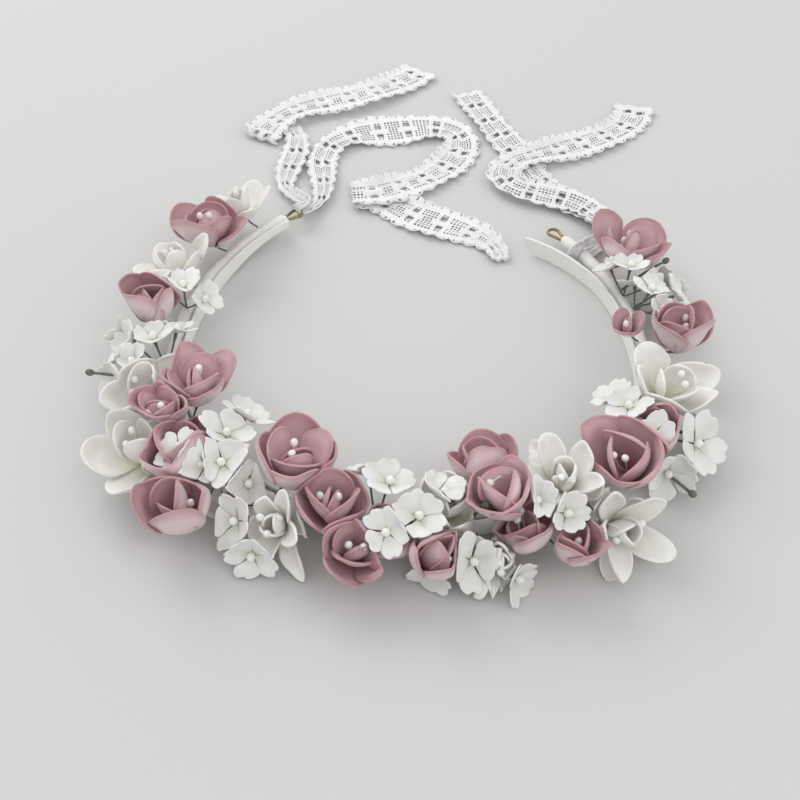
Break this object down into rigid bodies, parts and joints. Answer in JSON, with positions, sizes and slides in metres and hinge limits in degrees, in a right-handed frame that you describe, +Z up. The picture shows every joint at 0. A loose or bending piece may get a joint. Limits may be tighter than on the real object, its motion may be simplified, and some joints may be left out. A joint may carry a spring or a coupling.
{
  "type": "flower crown",
  "caption": "Open hair crown of moulded rose, ivory and white blossoms on a tape-wrapped wire band, tied at the back with lace ribbons.",
  "frame": {"origin": "middle of the crown's underside, on the surface that it lies on, with the ribbons laid out behind", "axes": "+Z up out of the surface, +Y from the flowered front towards the open back and the ribbons, +X to the right as seen from the front, which is the wearer's left; left and right in the names are as seen from the front"},
  "size_m": [0.2108, 0.3062, 0.0285],
  "materials": {
    "brass_wire": "satin",
    "wrap_tape": "matte",
    "lining_felt": "matte",
    "lace": "matte",
    "rose_petal": "satin",
    "ivory_petal": "satin",
    "floret_petal": "matte",
    "stem_wire": "satin"
  },
  "bodies": {
    "front_band": {"bead_stem_front": "stem_wire", "bead_stem_left_low": "stem_wire", "bead_stem_left_side": "stem_wire", "bead_stem_right_low": "stem_wire", "floret_front": "floret_petal", "floret_front_low": "floret_petal", "floret_front_upper": "floret_petal", "floret_left_front": "floret_petal", "floret_left_low": "floret_petal", "floret_left_shoulder": "floret_petal", "floret_left_side": "floret_petal", "floret_left_side_upper": "floret_petal", "floret_right_front": "floret_petal", "floret_right_shoulder": "floret_petal", "floret_right_side": "floret_petal", "ivory_bloom_front": "ivory_petal", "ivory_bloom_front_left": "ivory_petal", "ivory_bloom_front_low": "ivory_petal", "ivory_bloom_left_low": "ivory_petal", "ivory_bloom_left_shoulder": "ivory_petal", "ivory_bloom_right_front": "ivory_petal", "ivory_bloom_right_low": "ivory_petal", "ivory_bloom_right_side": "ivory_petal", "lining_front": "lining_felt", "rose_bloom_front_left": "rose_petal", "rose_bloom_front_low": "rose_petal", "rose_bloom_front_right": "rose_petal", "rose_bloom_left_front": "rose_petal", "rose_bloom_left_low": "rose_petal", "rose_bloom_left_shoulder": "rose_petal", "rose_bloom_right_low": "rose_petal", "rose_bloom_right_shoulder": "rose_petal", "tape_wrap_front": "wrap_tape", "wire_front": "brass_wire"},
    "left_arm": {"floret_left_rear": "floret_petal", "ivory_bloom_left_rear": "ivory_petal", "ivory_bloom_left_side": "ivory_petal", "lining_left": "lining_felt", "rose_bloom_left_rear": "rose_petal", "rose_bloom_left_side": "rose_petal", "tape_wrap_left": "wrap_tape", "wire_left_with_eye": "brass_wire"},
    "right_arm": {"bead_stem_right_rear": "stem_wire", "bead_stem_right_side": "stem_wire", "floret_right_rear": "floret_petal", "floret_right_rear_inner": "floret_petal", "floret_right_rear_outer": "floret_petal", "lining_right": "lining_felt", "rose_bloom_right_rear": "rose_petal", "rose_bloom_right_side": "rose_petal", "rose_bud_right_inner": "rose_petal", "tape_wrap_right": "wrap_tape", "wire_right_with_eye": "brass_wire"},
    "left_ribbon": {"lace_ribbon_left": "lace"},
    "right_ribbon": {"lace_ribbon_right": "lace"}
  },
  "joints": [
    {"name": "left_arm_flex", "type": "hinge", "parent": "front_band", "child": "left_arm", "pos_m": [-0.08108, -0.06053, 0.00527], "axis": [0, 0, 1], "range_deg": [0, 8], "stiffness_Nm_per_rad": 0.1},
    {"name": "right_arm_flex", "type": "hinge", "parent": "front_band", "child": "right_arm", "pos_m": [0.08329, -0.06053, 0.00527], "axis": [0, 0, -1], "range_deg": [0, 8], "stiffness_Nm_per_rad": 0.1},
    {"name": "left_ribbon_swing", "type": "hinge", "parent": "left_arm", "child": "left_ribbon", "pos_m": [-0.04673, 0.02797, 0.00527], "axis": [-0.7131, 0.7011, 0], "range_deg": [-15, 85]},
    {"name": "right_ribbon_swing", "type": "hinge", "parent": "right_arm", "child": "right_ribbon", "pos_m": [0.06431, 0.01037, 0.00527], "axis": [-0.5692, 0.8222, 0], "range_deg": [-15, 85]}
  ]
}
